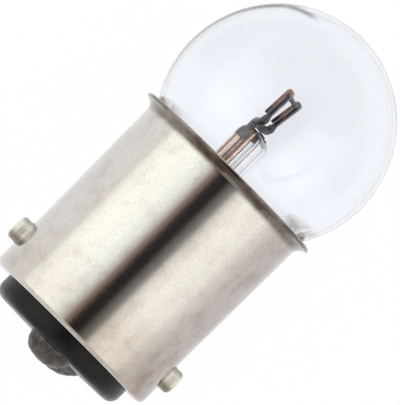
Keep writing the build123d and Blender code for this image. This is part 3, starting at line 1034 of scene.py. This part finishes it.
class BULB_OT_stage(bpy.types.Operator):
    """Lay the white floor, hang the soft light and set the camera over the bulb"""

    bl_idname = "bulb.stage"
    bl_label = "Stage"

    def execute(self, context):
        stage = context.scene.bulb.stage
        self.lay_floor(stage)
        side, up, along = (LYING.to_3x3().col[k].normalized() for k in range(3))
        towards = (up * math.cos(stage.roll) + side * math.sin(stage.roll)) * math.cos(stage.tip)
        towards -= along * math.sin(stage.tip)
        self.hang_light(context, side, up, along)
        self.set_camera(context, stage, towards, along)
        return {"FINISHED"}

    def lay_floor(self, stage):
        """A white floor that keeps a faint shadow."""
        floor = begin(
            bpy.ops.mesh.primitive_plane_add, "floor", size=stage.floor_width, location=(0, 0, 0)
        )
        bpy.ops.object.mode_set(mode="OBJECT")
        material = bpy.data.materials.new("floor_white")
        material.use_nodes = True
        tree = material.node_tree
        tree.nodes.clear()
        matt = add(tree, "ShaderNodeBsdfDiffuse", {"Color": rgba(stage.floor)})
        glow = add(tree, "ShaderNodeEmission", {"Color": rgba(WHITE), "Strength": 1.0})
        path = add(tree, "ShaderNodeLightPath").outputs
        seen = math_node(
            tree, "MAXIMUM", path["Is Camera Ray"],
            math_node(tree, "MAXIMUM", path["Is Glossy Ray"], path["Is Transmission Ray"]),
        )
        mixed = add(
            tree, "ShaderNodeMixShader",
            {0: times(tree, seen, FLOOR_GLOW), 1: matt.outputs[0], 2: glow.outputs[0]},
        )
        output = tree.nodes.new("ShaderNodeOutputMaterial")
        tree.links.new(mixed.outputs[0], output.inputs["Surface"])
        floor.data.materials.append(material)

    def hang_light(self, context, side, up, along):
        """A pale room with a dark gap over the bulb that fades towards both its ends."""
        world = bpy.data.worlds.new("studio")
        context.scene.world = world
        world.use_nodes = True
        tree = world.node_tree
        tree.nodes.clear()
        ray = add(tree, "ShaderNodeTexCoord").outputs["Generated"]
        across, height, length = (dot(tree, ray, way) for way in (side, up, along))
        turn = math_node(tree, "ARCTAN2", across, height)
        share = math_node(tree, "ADD", math_node(tree, "DIVIDE", turn, math.tau), 0.5)
        ramp = add(tree, "ShaderNodeValToRGB", {0: share})
        ramp.color_ramp.interpolation = "EASE"
        points = ramp.color_ramp.elements
        while len(points) < len(ROOM_ROUND):
            points.new(0.5)
        for point, (degrees, colour) in zip(points, ROOM_ROUND):
            point.position = degrees / 360 + 0.5
            point.color = rgba(colour)
        by_side = spread(tree, length, 0.95, 0.1)
        room = blended(tree, by_side, rgba(ROOM_BY_GLOBE), ramp.outputs["Color"])
        by_contacts = spread(tree, length, -0.3, -0.95)
        room = blended(tree, by_contacts, room, rgba(ROOM_BY_CONTACTS))
        path = add(tree, "ShaderNodeLightPath").outputs["Is Camera Ray"]
        shown = blended(tree, path, room, rgba(WHITE))
        background = add(tree, "ShaderNodeBackground", {"Color": shown, "Strength": 1.0})
        output = tree.nodes.new("ShaderNodeOutputWorld")
        tree.links.new(background.outputs[0], output.inputs["Surface"])

    def set_camera(self, context, stage, towards, along):
        """A long lens at the photo's angle, turned so that the bulb points up to the right."""
        rise = (along - towards * along.dot(towards)).normalized()
        left = towards.cross(rise)
        right = (rise - left).normalized()
        top = (rise + left).normalized()
        pixel = MM / stage.pixels_per_mm
        aim = LYING.to_translation() + right * AIM_RIGHT * pixel + top * AIM_UP * pixel
        data = bpy.data.cameras.new("camera")
        camera = bpy.data.objects.new("camera", data)
        context.scene.collection.objects.link(camera)
        data.lens = data.sensor_width * stage.distance / (PHOTO_HEIGHT * pixel)
        camera.location = aim + towards * stage.distance
        camera.rotation_euler = Matrix((right, top, towards)).transposed().to_euler()
        context.scene.camera = camera
        context.scene.view_settings.view_transform = "Standard"


class BULB_PT_panel(bpy.types.Panel):
    """Sizes, colours and steps of the bulb"""

    bl_idname = "BULB_PT_panel"
    bl_label = "Signal bulb"
    bl_space_type = "VIEW_3D"
    bl_region_type = "UI"
    bl_category = "Bulb"

    def draw(self, context):
        for name in ("glass", "cap", "contacts", "mount", "stage"):
            box = self.layout.box()
            box.label(text=name.title())
            settings = getattr(context.scene.bulb, name)
            for key in settings.bl_rna.properties.keys():
                if key not in ("rna_type", "name"):
                    box.prop(settings, key)
        for operator in OPERATORS:
            self.layout.operator(operator.bl_idname)


SETTINGS = (
    GlassSettings, CapSettings, ContactSettings, MountSettings, StageSettings, BulbSettings,
)
OPERATORS = (
    BULB_OT_globe, BULB_OT_stem, BULB_OT_cap, BULB_OT_pins, BULB_OT_contacts, BULB_OT_wires,
    BULB_OT_stage,
)
CLASSES = (*SETTINGS, *OPERATORS, BULB_PT_panel)


def register():
    for made in CLASSES:
        bpy.utils.register_class(made)
    bpy.types.Scene.bulb = PointerProperty(type=BulbSettings)


def unregister():
    del bpy.types.Scene.bulb
    for made in reversed(CLASSES):
        bpy.utils.unregister_class(made)


def main():
    """Builds the bulb and the stage."""
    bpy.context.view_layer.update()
    register()
    surface_marks_group()
    for operator in OPERATORS:
        group, name = operator.bl_idname.split(".")
        getattr(getattr(bpy.ops, group), name)()


if __name__ == "__main__":
    main()
